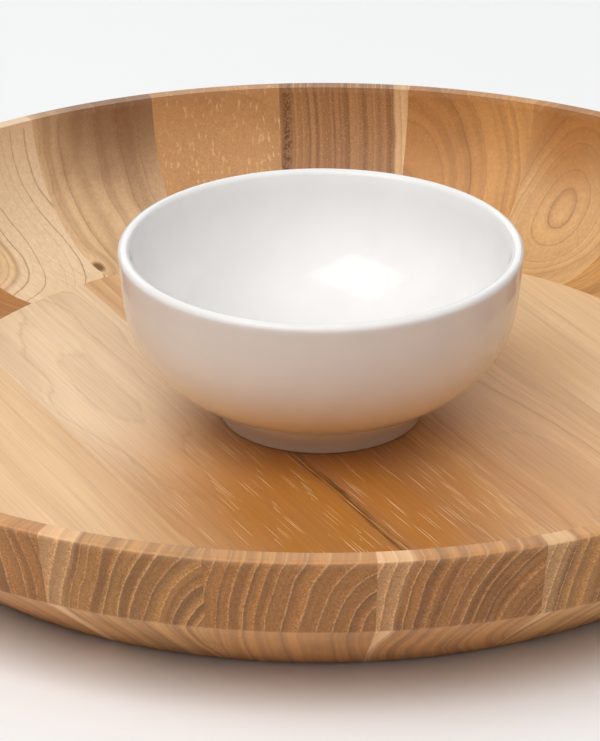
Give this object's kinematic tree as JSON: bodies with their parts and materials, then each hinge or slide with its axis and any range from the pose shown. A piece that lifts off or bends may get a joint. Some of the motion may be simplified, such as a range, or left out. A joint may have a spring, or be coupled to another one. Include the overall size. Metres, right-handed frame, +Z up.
{
  "type": "chip and dip server",
  "caption": "Round wooden serving tray with a coved, coopered rim and a loose glazed dip bowl standing in its middle.",
  "frame": {"origin": "centre of the flat that the tray stands on", "axes": "+Z up, -Y towards the front stave; the floor boards run 62 degrees clockwise from +X"},
  "size_m": [0.3794, 0.3794, 0.072],
  "materials": {
    "rim_wood": "oiled, satin, end grain outwards",
    "floor_wood": "oiled, satin, long grain",
    "bowl_glaze": "glossy white glaze"
  },
  "bodies": {
    "tray": {"rim_stave_01": "rim_wood", "rim_stave_02": "rim_wood", "rim_stave_03": "rim_wood", "rim_stave_04": "rim_wood", "rim_stave_05": "rim_wood", "rim_stave_06": "rim_wood", "rim_stave_07": "rim_wood", "rim_stave_08": "rim_wood", "rim_stave_09": "rim_wood", "rim_stave_10": "rim_wood", "rim_stave_11": "rim_wood", "rim_stave_12": "rim_wood", "rim_stave_13": "rim_wood", "rim_stave_14": "rim_wood", "rim_stave_15": "rim_wood", "rim_stave_16": "rim_wood", "rim_stave_17": "rim_wood", "rim_stave_18": "rim_wood", "rim_stave_19": "rim_wood", "rim_stave_20": "rim_wood", "rim_stave_21": "rim_wood", "rim_stave_22": "rim_wood", "rim_stave_23": "rim_wood", "rim_stave_24": "rim_wood", "floor_board_1": "floor_wood", "floor_board_2": "floor_wood", "floor_board_3": "floor_wood", "floor_board_4": "floor_wood", "floor_board_5": "floor_wood"},
    "bowl": {"dip_bowl": "bowl_glaze"}
  },
  "joints": [
    {"name": "bowl_lift", "type": "slide", "parent": "tray", "child": "bowl", "axis": [0, 0, 1], "range_m": [0, 0.1]}
  ]
}
